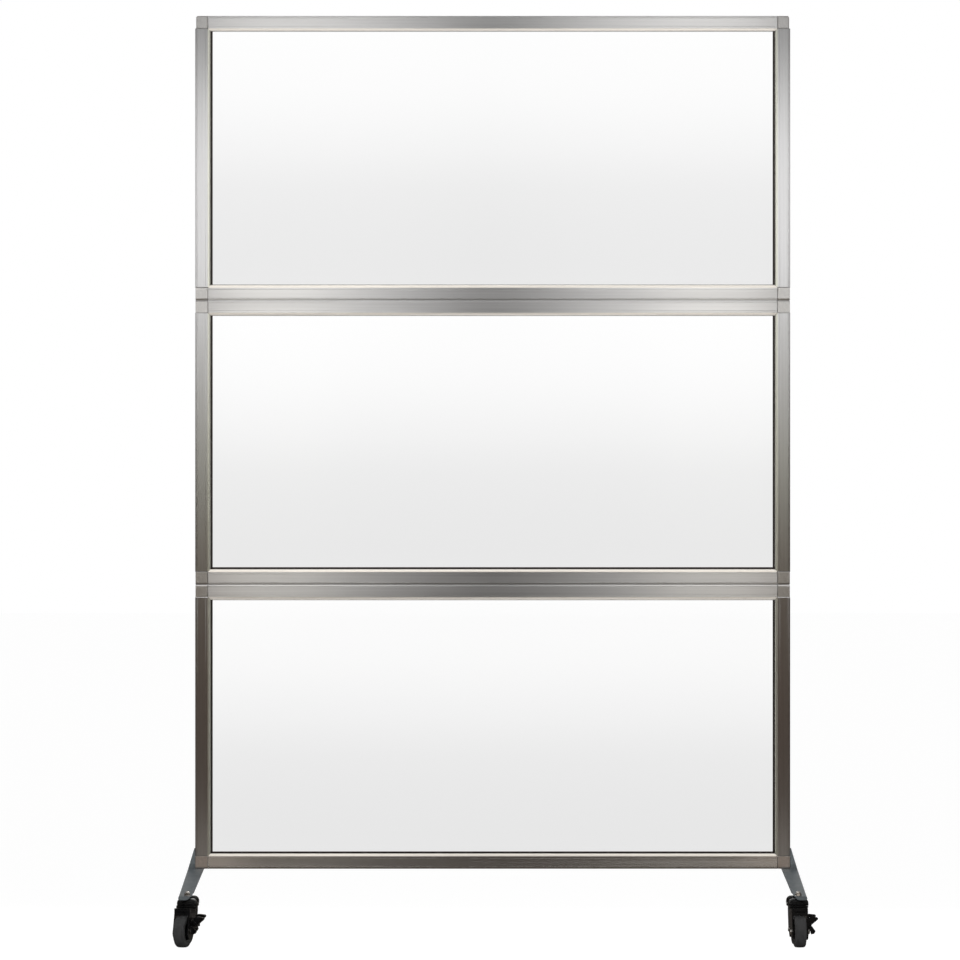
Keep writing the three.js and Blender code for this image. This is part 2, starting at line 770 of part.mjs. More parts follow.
// The wheels trail forward, so the footprint's middle lies ahead of the panes. The origin is on the
// floor under that middle.
function footprintShift() {
  const yaw = degrees(rightYawDegrees);
  const frontReach = casterAxisY + (trail + wheelRadius) * Math.cos(yaw) + tyreWidth / 2 * Math.sin(yaw);
  const rearReach = casterAxisY + headRadius + footLipGap + footLipThickness;
  return (frontReach - rearReach) / 2;
}

const divider = new THREE.Group();
divider.position.y = footprintShift();
sectionNames.forEach((name, level) => divider.add(section(name, level)));
divider.add(piece('left_leg', leg(-1), slatePaint), piece('right_leg', leg(1), slatePaint));
divider.add(caster('front_left', -1, -1, leftYawDegrees), caster('front_right', 1, -1, rightYawDegrees));
divider.add(caster('rear_left', -1, 1, leftYawDegrees), caster('rear_right', 1, 1, rightYawDegrees));

export default divider;
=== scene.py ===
import json
import math

import bmesh
import bpy
from mathutils import Matrix, Vector


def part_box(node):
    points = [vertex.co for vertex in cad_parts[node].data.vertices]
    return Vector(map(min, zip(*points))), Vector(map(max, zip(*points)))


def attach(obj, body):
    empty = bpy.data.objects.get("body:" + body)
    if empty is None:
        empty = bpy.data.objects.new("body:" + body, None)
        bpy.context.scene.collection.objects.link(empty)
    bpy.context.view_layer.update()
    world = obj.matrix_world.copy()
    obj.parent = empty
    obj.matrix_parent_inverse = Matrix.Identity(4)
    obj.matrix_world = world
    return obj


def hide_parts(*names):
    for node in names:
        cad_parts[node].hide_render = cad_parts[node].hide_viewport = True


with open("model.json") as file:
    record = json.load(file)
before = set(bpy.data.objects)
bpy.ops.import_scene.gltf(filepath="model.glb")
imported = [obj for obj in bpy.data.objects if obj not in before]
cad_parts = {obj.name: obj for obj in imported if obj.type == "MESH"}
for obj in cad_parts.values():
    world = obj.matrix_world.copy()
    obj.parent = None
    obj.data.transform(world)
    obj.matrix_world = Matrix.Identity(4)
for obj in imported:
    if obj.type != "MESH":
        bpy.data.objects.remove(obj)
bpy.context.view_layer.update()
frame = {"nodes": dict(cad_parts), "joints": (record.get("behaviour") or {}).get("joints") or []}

# A clear mobile screen: the looks of its bars, corner blocks, seals, panes, legs and casters.
# Piece sizes are in millimetres, like the drawing they follow, and MM turns them into metres.

MM = 0.001
SEAT_GAP = 0.3
WELD_DISTANCE = 0.001
SMOOTH_DEGREES = 40
BEVEL_DEGREES = 35
BEVEL_SEGMENTS = 3
FINE_SEGMENTS = 2

# Screen
SECTIONS = ("lower", "middle", "upper")
LOWEST_RAIL = "lower_bottom_rail"
FRAME_WIDTH = 1430
SECTION_HEIGHT = 683
FACE_WIDTH = 30
PROFILE_DEPTH = 32
EDGE_RADIUS = 0.8
EDGE_STEPS = 8
SLOPE_WIDTH = 4  # the face's outer margin, which leans back
SLOPE_DEGREES = 15
GROOVE_INSET = 4.6
GROOVE_WIDTH = 0.8
GROOVE_DEPTH = 0.35
BEAD_REACH = 6.5
BEAD_ROOT_INSET = 3.8
BEAD_NOSE_INSET = 8
BEAD_MARGIN = 1  # how far over its root the bead's own material still reaches
CHANNEL_WIDTH = 10
BEAD_STEPS = 12
BAR_BEVEL = 0.25
END_BEVEL = (0.7, 1.1)  # back from the face, along the bar
SMOOTH_BELOW = 13  # degrees, less than the slope of the margins and of the end bevels
TONGUE_DEPTH = 22
TONGUE_HEIGHT = 0.28
FACE_INDEX = 0  # the order of a bar's two materials
BEAD_INDEX = 1
GASKET_BEVEL = 0.4
PANE_BEVEL = 0.3
LEG_BEVEL = 1
LEG_BEVEL_DEGREES = 30

# Corner blocks
BLOCK_SHAPES = {  # inset and rounding of the outer side
    "leg": (0.1, 1.2),
    "joint": (0.8, 1.2),
    "top": (2.4, 5),
}
BLOCK_RELIEF = 0.5
BLOCK_BEVEL = 0.6
BLOCK_RIM = 1.3
BLOCK_LINE = 0.7
BLOCK_LINE_DEPTH = 0.45
BLOCK_STEPS = 10

# Casters
TRAIL = 38
WHEEL_RADIUS = 37.5
TYRE_HALF = 14
TYRE_INNER = 23.5
TYRE_SHOULDER = 6
TREAD_CROWN = 0.5
TYRE_LIP = ((0, 1.2), (0.8, 0.4), (2, 0))  # out from the tyre's inner radius, in from its side
TYRE_STEPS = 10
HUB_RADIUS = 10
HUB_GAP = 1.5
HUB_CHAMFER = 1
HUB_FOOT = 0.5
HUB_SPREAD = 2
BORE_GAP = 0.4
BORE_CHAMFER = 0.6
WEB_HALF = 4
WEB_FILLET = 1.5
RIM_HALF = 12.5
RIM_INNER = 20.4
RIM_SPREAD = 2.5
RIM_LEAN = 0.6
RIM_CHAMFER = 0.8
AXLE_RADIUS = 4
AXLE_CHAMFER = 0.8
AXLE_BEVEL = 0.5
FORK_INNER = 16
FORK_OUTER = 19.5
FORK_END_RADIUS = 19
FORK_END_DEGREES = (190, 330)
FORK_END_STEPS = 24
FORK_FRONT = 10
FORK_BACK = 42
FORK_BEVEL = 1.1
SKIRT_BOTTOM = 76.2
SKIRT_THICKNESS = 3
RIB_BOTTOM = 86
RIB_TOP = 88.4
RIB_RISE = 0.8
YOKE_BOTTOM = 82
YOKE_TOP = 94
YOKE_CORNER = 7
YOKE_STEPS = 6
RACE_TOP = 100
RACE_RADIUS = 24
RACE_NECK = 22.8
RACE_SINK = 1
RACE_EDGE = (0.3, 0.4)  # in and up
RACE_TOP_EDGE = 0.35
KINGPIN_RADIUS = 5
KINGPIN_HEAD_RADIUS = 8
KINGPIN_HEAD_CHAMFER = 1
KINGPIN_HEAD_BOTTOM = 77.7
KINGPIN_HEAD_TOP = 81.7
HEAD_BOTTOM = 100.4
HEAD_SKIRT_TOP = 106
HEAD_TOP = 118
HEAD_RADIUS = 25
HEAD_TOP_RADIUS = 13
HEAD_CHAMFER = 0.8
HEAD_SHOULDER = 0.5
HEAD_GROOVE_DEPTH = 0.9
HEAD_GROOVE_HEIGHTS = (2.2, 2.9, 3.6, 4.3)
HEAD_DOME_STEPS = 14
STEM_RADIUS = 4
STEM_TOP = 131.4
STEM_CHAMFER = 0.6
NUT_BOTTOM = 122.6
NUT_FLANGE_RADIUS = 8.5
NUT_FLANGE_TOP = 124.1
NUT_WIDTH = 13
NUT_HEX_TOP = 129.1
NUT_TOP = 134.7
NUT_FLANGE_CHAMFER = 0.4
NUT_FLANGE_EDGE = (0.6, 0.5)  # in and down
NUT_DOME_INSET = 0.3
NUT_DOME_STEPS = 8
NUT_HEX_SINK = 0.2
NUT_BEVEL = 0.4
AXLE_HEAD_WIDTH = 11
AXLE_HEAD_HEIGHT = 3.5
AXLE_END = 1
ROUND_STEPS = 96
SMALL_STEPS = 48
HEXAGON_SIDES = 6

# Brake rocker
PIVOT = (25.5, -13, 56)
ROCKER_HEIGHT = 40
ROCKER_WIDTH = 13
ROCKER_BEVEL = 1.1
NOSE_REACH = 8.8
NOSE_TOP = 6.5
NOSE_BOTTOM = 12
LINK_SIDES = (0.5, 4.5)
LINK_HEIGHTS = (-10, -5.5)
RELEASE_NEAR = -25
RELEASE_FAR = -39
RELEASE_LIP = 5
SLOT_BOTTOM = 43
SLOT_TOP = 54.5
SLOT_GAP = 0.5
WALL_SHELF = 3
EAR_THICKNESS = 4
EAR_RADIUS = 4.6
EAR_DEGREES = (-90, 60)
EAR_STEPS = 12
EAR_RISE = 12
EAR_GAP = 0.5
PIN_RADIUS = 2

# Stage, in metres
PHOTO_SIDE = 2.3069  # what the picture takes in, at the front of the screen
CAMERA_X = -0.0305
CAMERA_HEIGHT = 1.1198
CAMERA_DISTANCE = 80
CLIP_DISTANCE = 800
SENSOR = 36
WORLD_STRENGTH = 0.55
CARD_DISTANCE = 1.5
CARD_WIDTH = 7
CARD_HEIGHT = 4.2
CARD_STRENGTH = 2.4
FLAG_HEIGHT = 0.001
STRIP_PLACE = (0, -1.2, 3.7)
STRIP_SIZE = (4.4, 0.3)
STRIP_STRENGTH = 2.2
FLOOR_FLAG_COLOR = (0.075, 0.065, 0.056)
CEILING_COLOR = (0.14, 0.14, 0.14)
SIDE_FLAG_COLOR = (0.16, 0.15, 0.14)
FLOOR_SIDE = 400
FLOOR_PAINT = 0.9
FLOOR_ROUGHNESS = 0.9
FLOOR_SPECULAR = 0.1
FLOOR_GLOW = 1.15
FLOOR_GLOW_SHARE = 0.74
MIDDLE_SHARE = 0.5
LAMP_TARGET = (0, 0, 1)
LAMP_SIZE = 3
LAMPS = (  # name, place, power
    ("key", (-2.5, -4, 4.5), 160),
    ("fill", (3.5, -3, 2.5), 60),
    ("back", (1, 4.5, 4), 100),
)


# Mesh helpers

def finish_piece(name, mesh, material_names, smooth_degrees=SMOOTH_DEGREES):
    for material_name in material_names:
        mesh.materials.append(materials[material_name])
    piece = bpy.data.objects.new(name, mesh)
    bpy.context.scene.collection.objects.link(piece)
    for polygon in mesh.polygons:
        polygon.use_smooth = True
    mesh.set_sharp_from_angle(angle=math.radians(smooth_degrees))
    return piece


def mesh_from(build, scale=MM):
    """A mesh in metres from a function that fills a bmesh in millimetres."""
    work = bmesh.new()
    build(work)
    bmesh.ops.scale(work, vec=(scale, scale, scale), verts=work.verts)
    bmesh.ops.recalc_face_normals(work, faces=work.faces)
    mesh = bpy.data.meshes.new("work")
    work.to_mesh(mesh)
    work.free()
    return mesh


def add_bevel(piece, width, segments=BEVEL_SEGMENTS, degrees=BEVEL_DEGREES):
    bevel = piece.modifiers.new("edges", "BEVEL")
    bevel.width = width * MM
    bevel.segments = segments
    bevel.limit_method = "ANGLE"
    bevel.angle_limit = math.radians(degrees)
    bevel.harden_normals = True


def oval_arc(centre, radii, start, end, steps):
    points = []
    for step in range(steps + 1):
        angle = math.radians(start + (end - start) * step / steps)
        across = centre[0] + radii[0] * math.cos(angle)
        up = centre[1] + radii[1] * math.sin(angle)
        points.append((across, up))
    return points


def arc(centre, radius, start, end, steps):
    return oval_arc(centre, (radius, radius), start, end, steps)


def lathe(work, profile, steps, axis="Z", centre=(0, 0, 0)):
    """Turns [radius, height] points about an axis. A point at radius 0 becomes one vertex."""
    rings = []
    for radius, height in profile:
        count = 1 if radius == 0 else steps
        ring = []
        for step in range(count):
            angle = 2 * math.pi * step / steps
            flat = (radius * math.cos(angle), radius * math.sin(angle))
            place = (flat[0], flat[1], height) if axis == "Z" else (height, flat[0], flat[1])
            ring.append(work.verts.new(Vector(place) + Vector(centre)))
        rings.append(ring)
    for low, high in zip(rings, rings[1:]):
        for step in range(steps):
            after = (step + 1) % steps
            corners = []
            for ring, index in ((low, step), (low, after), (high, after), (high, step)):
                corner = ring[index % len(ring)]
                if corner not in corners:
                    corners.append(corner)
            if len(corners) > 2:
                work.faces.new(corners)
    return rings


def extrude_outline(work, outline, start, end, place):
    """A prism of an outline of pairs, whose points place makes of (first, second, along). Gives its ends."""
    near = [work.verts.new(place(a, b, start)) for a, b in outline]
    far = [work.verts.new(place(a, b, end)) for a, b in outline]
    count = len(outline)
    for index in range(count):
        after = (index + 1) % count
        work.faces.new((near[index], near[after], far[after], far[index]))
    return work.faces.new(near), work.faces.new(list(reversed(far)))


def cut_mesh(mesh, cutter):
    """The mesh less what lies inside the cutter."""
    body = bpy.data.objects.new("body", mesh)
    tool = bpy.data.objects.new("tool", cutter)
    for piece in (body, tool):
        bpy.context.scene.collection.objects.link(piece)
    cut = body.modifiers.new("cut", "BOOLEAN")
    cut.operation = "DIFFERENCE"
    cut.object = tool
    cut.solver = "EXACT"
    evaluated = body.evaluated_get(bpy.context.evaluated_depsgraph_get())
    left = bpy.data.meshes.new_from_object(evaluated)
    for piece in (body, tool):
        bpy.data.objects.remove(piece)
    return left


def along_x(first, second, along):
    return (along, first, second)


def along_y(first, second, along):
    return (first, along, second)


def along_z(first, second, along):
    return (first, second, along)


# Shader helpers

def math_node(tree, operation, *values):
    node = tree.nodes.new("ShaderNodeMath")
    node.operation = operation
    for value, socket in zip(values, node.inputs):
        if isinstance(value, (int, float)):
            socket.default_value = value
        else:
            tree.links.new(value, socket)
    return node.outputs["Value"]


def ramp(tree, source, stops, interpolation="LINEAR"):
    """A colour ramp whose stops are (position, colour or level)."""
    node = tree.nodes.new("ShaderNodeValToRGB")
    node.color_ramp.interpolation = interpolation
    while len(node.color_ramp.elements) < len(stops):
        node.color_ramp.elements.new(MIDDLE_SHARE)
    for element, (position, color) in zip(node.color_ramp.elements, stops):
        element.position = position
        element.color = (*color, 1) if isinstance(color, tuple) else (color, color, color, 1)
    tree.links.new(source, node.inputs["Fac"])
    return node.outputs["Color"]


materials = {}


class Shader:
    """A node material with a Principled BSDF, and short ways to add what drives it."""

    def __init__(self, name, color, roughness, metallic=0.0, **constants):
        self.material = bpy.data.materials.new(name)
        self.material.use_nodes = True
        self.tree = self.material.node_tree
        self.nodes = self.tree.nodes
        self.bsdf = self.nodes["Principled BSDF"]
        self.bsdf.inputs["Base Color"].default_value = (*color, 1)
        self.bsdf.inputs["Roughness"].default_value = roughness
        self.bsdf.inputs["Metallic"].default_value = metallic
        for socket, value in constants.items():
            self.bsdf.inputs[socket.replace("_", " ")].default_value = value
        self.color = color
        self.coordinates = self.nodes.new("ShaderNodeTexCoord")
        materials[name] = self.material

    def join(self, source, target):
        self.tree.links.new(source, target)

    def noise(self, scales, detail, roughness=0.6):
        mapping = self.nodes.new("ShaderNodeMapping")
        mapping.inputs["Scale"].default_value = scales
        self.join(self.coordinates.outputs["Object"], mapping.inputs["Vector"])
        texture = self.nodes.new("ShaderNodeTexNoise")
        texture.inputs["Scale"].default_value = 1
        texture.inputs["Detail"].default_value = detail
        texture.inputs["Roughness"].default_value = roughness
        self.join(mapping.outputs["Vector"], texture.inputs["Vector"])
        return texture.outputs["Fac"]

    def even_noise(self, scale, detail, roughness=0.6):
        return self.noise((scale, scale, scale), detail, roughness)

    def spread(self, source, low, high, from_low=0.3, from_high=0.7):
        remap = self.nodes.new("ShaderNodeMapRange")
        remap.inputs["From Min"].default_value = from_low
        remap.inputs["From Max"].default_value = from_high
        remap.inputs["To Min"].default_value = low
        remap.inputs["To Max"].default_value = high
        self.join(source, remap.inputs["Value"])
        return remap.outputs["Result"]

    def add(self, first, second):
        return math_node(self.tree, "ADD", first, second)

    def tint(self, factor):
        """The base colour times a factor."""
        scale = self.nodes.new("ShaderNodeVectorMath")
        scale.operation = "SCALE"
        scale.inputs[0].default_value = self.color
        self.join(factor, scale.inputs["Scale"])
        self.join(scale.outputs["Vector"], self.bsdf.inputs["Base Color"])

    def vary_roughness(self, factor):
        self.join(factor, self.bsdf.inputs["Roughness"])

    def bump(self, height, distance, strength):
        node = self.nodes.new("ShaderNodeBump")
        node.inputs["Strength"].default_value = strength
        node.inputs["Distance"].default_value = distance
        self.join(height, node.inputs["Height"])
        self.join(node.outputs["Normal"], self.bsdf.inputs["Normal"])

    def brush_along(self, direction):
        """Reflections spread across the brushing, which runs along one of the piece's own axes."""
        turn = self.nodes.new("ShaderNodeVectorTransform")
        turn.vector_type = "VECTOR"
        turn.convert_from = "OBJECT"
        turn.convert_to = "WORLD"
        turn.inputs["Vector"].default_value = direction
        geometry = self.nodes.new("ShaderNodeNewGeometry")
        cross = self.nodes.new("ShaderNodeVectorMath")
        cross.operation = "CROSS_PRODUCT"
        self.join(turn.outputs["Vector"], cross.inputs[0])
        self.join(geometry.outputs["True Normal"], cross.inputs[1])
        self.join(cross.outputs["Vector"], self.bsdf.inputs["Tangent"])


def brushed_aluminium(name, color, roughness, anisotropy, metallic=1.0):
    shader = Shader(name, color, roughness, metallic, Anisotropic=anisotropy)
    streaks = shader.noise((1400, 1400, 2.5), detail=5)
    bands = shader.noise((150, 150, 0.8), detail=3)
    clouds = shader.noise((9, 9, 3), detail=2)
    both = shader.add(shader.spread(streaks, -0.05, 0.05), shader.spread(bands, -0.07, 0.07))
    shader.tint(shader.add(shader.add(both, shader.spread(clouds, -0.02, 0.02)), 1.0))
    shader.vary_roughness(shader.spread(bands, roughness - 0.04, roughness + 0.05))
    shader.bump(streaks, distance=0.00002, strength=0.25)
    shader.brush_along((0, 0, 1))


def cast_aluminium(name, color):
    shader = Shader(name, color, roughness=0.36, metallic=1.0)
    grain = shader.even_noise(1100, detail=3)
    clouds = shader.even_noise(120, detail=4)
    shader.tint(shader.add(shader.spread(clouds, 0.86, 1.06), shader.spread(grain, -0.06, 0.06)))
    shader.vary_roughness(shader.spread(clouds, 0.3, 0.46))
    shader.bump(grain, distance=0.0001, strength=0.3)


# The panes' painted shade, darker toward each pane's foot, as (height, level) shares
PAINTED_SHADE_SHARES = ((0.15, 0.815), (0.38, 0.845), (0.52, 0.895), (0.72, 0.965), (0.92, 0.99))


def clear_sheet():
    """Clear, with a faint grey painted shade that deepens toward the foot of each pane."""
    shader = Shader("clear_sheet", (1, 1, 1), roughness=0.03, Transmission_Weight=1.0, IOR=1.2)
    split = shader.nodes.new("ShaderNodeSeparateXYZ")
    shader.join(shader.coordinates.outputs["Generated"], split.inputs["Vector"])
    # Painted shade: the base colour darkens toward the foot of each pane
    painted_shade = ramp(shader.tree, split.outputs["Z"], PAINTED_SHADE_SHARES, "B_SPLINE")
    shader.join(painted_shade, shader.bsdf.inputs["Base Color"])
    smears = shader.noise((3, 3, 5), detail=3)
    shader.vary_roughness(shader.spread(smears, 0.015, 0.04))


def black_rubber():
    shader = Shader("black_rubber", (0.018, 0.013, 0.012), roughness=0.55, Specular_IOR_Level=0.35)
    grain = shader.even_noise(1500, detail=3)
    clouds = shader.even_noise(60, detail=2)
    shader.tint(shader.spread(clouds, 0.8, 1.3))
    shader.vary_roughness(shader.spread(grain, 0.48, 0.65))
    shader.bump(grain, distance=0.00005, strength=0.3)


def slate_paint():
    shader = Shader("slate_paint", (0.08, 0.092, 0.098), roughness=0.42, Specular_IOR_Level=0.5)
    orange_peel = shader.even_noise(700, detail=2)
    specks = shader.even_noise(1900, detail=2, roughness=0.8)
    clouds = shader.even_noise(45, detail=3)
    shader.tint(shader.add(shader.spread(specks, 0.82, 1.12), shader.spread(clouds, -0.09, 0.09)))
    shader.vary_roughness(shader.spread(clouds, 0.36, 0.5))
    shader.bump(orange_peel, distance=0.00012, strength=0.3)


def bright_steel():
    shader = Shader("bright_steel", (0.8, 0.77, 0.72), roughness=0.18, metallic=1.0)
    swirls = shader.even_noise(500, detail=3)
    clouds = shader.even_noise(90, detail=2)
    shader.tint(shader.spread(clouds, 0.85, 1.02))
    shader.vary_roughness(shader.spread(swirls, 0.12, 0.28))
    shader.bump(swirls, distance=0.00004, strength=0.2)


def black_plastic():
    shader = Shader("black_plastic", (0.004, 0.004, 0.0043), roughness=0.3, Specular_IOR_Level=0.22)
    grain = shader.even_noise(900, detail=3)
    clouds = shader.even_noise(70, detail=2)
    shader.tint(shader.spread(clouds, 0.8, 1.3))
    shader.vary_roughness(shader.spread(clouds, 0.24, 0.38))
    shader.bump(grain, distance=0.00005, strength=0.25)


def grey_tread():
    shader = Shader("grey_tread", (0.03, 0.03, 0.0305), roughness=0.62, Specular_IOR_Level=0.3)
    grain = shader.even_noise(800, detail=4)
    scuffs = shader.noise((140, 60, 60), detail=4)
    shader.tint(shader.add(shader.spread(scuffs, 0.85, 1.3), shader.spread(grain, -0.1, 0.1)))
    shader.vary_roughness(shader.spread(scuffs, 0.52, 0.72))
    shader.bump(grain, distance=0.00008, strength=0.35)


brushed_aluminium("brushed_face", (0.74, 0.733, 0.725), roughness=0.34, anisotropy=1.0)
# A copy of the face aluminium for the lowest rail: smoother, with a warmer, slightly darker tint that is
# painted shade
brushed_aluminium("low_face_painted_shade", (0.74, 0.715, 0.69), roughness=0.24, anisotropy=1.0)
# The beads are the frame's aluminium, but their paler cream and greenish colours, partly diffuse, are
# painted highlights where light catches the lips
brushed_aluminium("rail_bead_painted_highlight", (0.86, 0.81, 0.74), roughness=0.34, anisotropy=0.6, metallic=0.35)
brushed_aluminium("stile_bead_painted_highlight", (0.7, 0.7, 0.61), roughness=0.34, anisotropy=0.6, metallic=0.85)
cast_aluminium("cast_aluminium", (0.62, 0.605, 0.585))
# A brighter, warmer copy of the casting for the blocks at the legs: a painted highlight
cast_aluminium("leg_casting_painted_highlight", (0.93, 0.86, 0.81))
clear_sheet()
black_rubber()
slate_paint()
bright_steel()
black_plastic()
grey_tread()


# Framed sections

def slope_drop(inward):
    """How far the sloping margin lies back from the face."""
    return max(SLOPE_WIDTH - inward, 0) * math.tan(math.radians(SLOPE_DEGREES))


def face_profile(tongue):
    """A bar's outline as [inward, depth] points, with the material of the side after each one."""
    front = PROFILE_DEPTH / 2
    bed = front - GROOVE_DEPTH
    inner_groove = FACE_WIDTH - GROOVE_INSET - GROOVE_WIDTH
    bead = FACE_WIDTH + BEAD_REACH
    slope_end = math.radians(90 + SLOPE_DEGREES)
    slope_start = EDGE_RADIUS * (1 + math.cos(slope_end))
    edge_centre = (EDGE_RADIUS, front - slope_drop(slope_start) - EDGE_RADIUS * math.sin(slope_end))
    rounding = arc(edge_centre, EDGE_RADIUS, 180, 90 + SLOPE_DEGREES, EDGE_STEPS)
    margin = rounding + [(SLOPE_WIDTH, front)]
    face = [
        (GROOVE_INSET, front), (GROOVE_INSET, bed),
        (GROOVE_INSET + GROOVE_WIDTH, bed), (GROOVE_INSET + GROOVE_WIDTH, front),
        (inner_groove, front), (inner_groove, bed),
        (inner_groove + GROOVE_WIDTH, bed), (inner_groove + GROOVE_WIDTH, front),
        (FACE_WIDTH, front),
    ]
    nose = front - BEAD_NOSE_INSET
    swell = (BEAD_REACH, BEAD_NOSE_INSET - BEAD_ROOT_INSET)
    beading = oval_arc((FACE_WIDTH, nose), swell, 90, 0, BEAD_STEPS) + [
        (bead, CHANNEL_WIDTH / 2),
        (FACE_WIDTH, CHANNEL_WIDTH / 2),
    ]
    upper = margin + face + beading
    if tongue:
        half = TONGUE_DEPTH / 2
        upper = [(-TONGUE_HEIGHT, half), (0, half)] + upper
    points = upper + [(inward, -depth) for inward, depth in reversed(upper)]
    bead_side = FACE_WIDTH - BAR_BEVEL
    bead_depth = front - BEAD_ROOT_INSET + BEAD_MARGIN
    slots = []
    for here, there in zip(points, points[1:] + points[:1]):
        on_bead = min(here[0], there[0]) > bead_side and abs(here[1]) < bead_depth
        slots.append(BEAD_INDEX if on_bead else FACE_INDEX)
    return points, slots


def bar_mesh(length, tongue):
    outline, slots = face_profile(tongue)
    raised = PROFILE_DEPTH / 2 - BEAD_ROOT_INSET + BAR_BEVEL
    sink, run = END_BEVEL

    def build(work):
        def ring(along, sunk):
            verts = []
            for inward, depth in outline:
                setback = max(inward, FACE_WIDTH) + SEAT_GAP
                if abs(depth) > raised:
                    depth -= math.copysign(sunk, depth)
                verts.append(work.verts.new((inward, depth, along(setback))))
            return verts

        rings = [
            ring(lambda setback: setback, sink),
            ring(lambda setback: setback + run, 0),
            ring(lambda setback: length - setback - run, 0),
            ring(lambda setback: length - setback, sink),
        ]
        count = len(outline)
        for near, far in zip(rings, rings[1:]):
            for index, slot in enumerate(slots):
                after = (index + 1) % count
                side = work.faces.new((near[index], near[after], far[after], far[index]))
                side.material_index = slot
        work.faces.new(rings[0])
        work.faces.new(list(reversed(rings[-1])))

    return mesh_from(build)


def turn_about(axis, degrees):
    return Matrix.Rotation(math.radians(degrees), 4, axis)


floor_to_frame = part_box("lower_bottom_rail")[0].z / MM
middle_y = sum(corner.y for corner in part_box("lower_pane")) / 2
section_pitch = (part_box("middle_bottom_rail")[0].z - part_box("lower_bottom_rail")[0].z) / MM
frame_side = FRAME_WIDTH / 2

BARS = (
    ("left_stile", SECTION_HEIGHT, Matrix.Identity(4), (-frame_side, 0)),
    ("right_stile", SECTION_HEIGHT, turn_about("Z", 180), (frame_side, 0)),
    ("bottom_rail", FRAME_WIDTH, turn_about("Y", -90), (frame_side, 0)),
    ("top_rail", FRAME_WIDTH, turn_about("Y", 90), (-frame_side, SECTION_HEIGHT)),
)
CORNERS = (
    ("bottom_left", Matrix.Identity(4), (-frame_side, 0)),
    ("bottom_right", turn_about("Z", 180), (frame_side, 0)),
    ("top_left", turn_about("X", 180), (-frame_side, SECTION_HEIGHT)),
    ("top_right", turn_about("Y", 180), (frame_side, SECTION_HEIGHT)),
)


def stand_in(piece, node, body):
    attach(piece, body)
    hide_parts(node)


def place_in_section(piece, level, turn, at):
    across, up = at
    base = Vector((across * MM, middle_y, (floor_to_frame + level * section_pitch + up) * MM))
    piece.matrix_world = Matrix.Translation(base) @ turn


def block_mesh(shape, tongue):
    """The bottom left corner's block. Its faces lean back at the seam, or at the top have a fine ring."""
    inset, rounding = BLOCK_SHAPES[shape]
    front = PROFILE_DEPTH / 2 - BLOCK_RELIEF
    outline = arc((inset + rounding, rounding), rounding, 180, 270, BLOCK_STEPS) + [
        (FACE_WIDTH, 0), (FACE_WIDTH, FACE_WIDTH), (inset, FACE_WIDTH)]
    key = [(inset + rounding, -TONGUE_HEIGHT), (FACE_WIDTH, -TONGUE_HEIGHT),
           (FACE_WIDTH, rounding), (inset + rounding, rounding)]

    def build(work):
        caps = extrude_outline(work, outline, -front, front, along_y)
        bmesh.ops.recalc_face_normals(work, faces=work.faces)
        if shape == "top":
            ring = ((BLOCK_RIM, 0), (BLOCK_LINE, -BLOCK_LINE_DEPTH), (BLOCK_LINE, BLOCK_LINE_DEPTH))
            for cap in caps:
                for width, rise in ring:
                    bmesh.ops.inset_region(work, faces=[cap], thickness=width, depth=rise)
        else:
            everything = work.verts[:] + work.edges[:] + work.faces[:]
            bmesh.ops.bisect_plane(
                work, geom=everything, plane_co=(0, 0, SLOPE_WIDTH), plane_no=(0, 0, 1))
            for vert in work.verts:
                vert.co.y -= math.copysign(slope_drop(vert.co.z), vert.co.y)
        if tongue:
            extrude_outline(work, key, -TONGUE_DEPTH / 2, TONGUE_DEPTH / 2, along_y)

    return mesh_from(build)


def block_shape(section, corner):
    if section == SECTIONS[0] and corner.startswith("bottom"):
        return "leg"
    if section == SECTIONS[-1] and corner.startswith("top"):
        return "top"
    return "joint"


def make_sections():
    bar_meshes = {}
    for level, section in enumerate(SECTIONS):
        for name, length, turn, at in BARS:
            tongue = name == "bottom_rail" and level > 0
            key = (length, tongue)
            if key not in bar_meshes:
                bar_meshes[key] = bar_mesh(length, tongue)
            node = f"{section}_{name}"
            bar = bar_meshes[key].copy()
            # The lowest rail's face carries a painted shade
            face = "low_face_painted_shade" if node == LOWEST_RAIL else "brushed_face"
            # The beads' materials carry painted highlights
            bead = "stile_bead_painted_highlight" if name.endswith("stile") else "rail_bead_painted_highlight"
            piece = finish_piece(f"{node}_bar", bar, (face, bead), SMOOTH_BELOW)
            add_bevel(piece, BAR_BEVEL, FINE_SEGMENTS)
            place_in_section(piece, level, turn, at)
            stand_in(piece, node, "screen")
        for name, turn, at in CORNERS:
            node = f"{section}_{name}_corner"
            tongue = name.startswith("bottom") and level > 0
            shape = block_shape(section, name)
            block = block_mesh(shape, tongue)
            # The blocks at the legs get the casting with a painted highlight
            casting = "leg_casting_painted_highlight" if shape == "leg" else "cast_aluminium"
            piece = finish_piece(f"{node}_block", block, (casting,), SMOOTH_BELOW)
            add_bevel(piece, BLOCK_BEVEL, FINE_SEGMENTS)
            place_in_section(piece, level, turn, at)
            stand_in(piece, node, "screen")


def dress_node(node, material_name, bevel, degrees=BEVEL_DEGREES):
    """A CAD node whose shape is right keeps it, with its own material and softened edges."""
    piece = frame["nodes"][node]
    piece.data.materials.clear()
    piece.data.materials.append(materials[material_name])
    add_bevel(piece, bevel, degrees=degrees)
    for polygon in piece.data.polygons:
        polygon.use_smooth = True


# Casters, each in its own axes: the swivel axis is Z, the axle lies along X and the wheel trails to -Y

AXLE_PLACE = (0, -TRAIL, WHEEL_RADIUS)


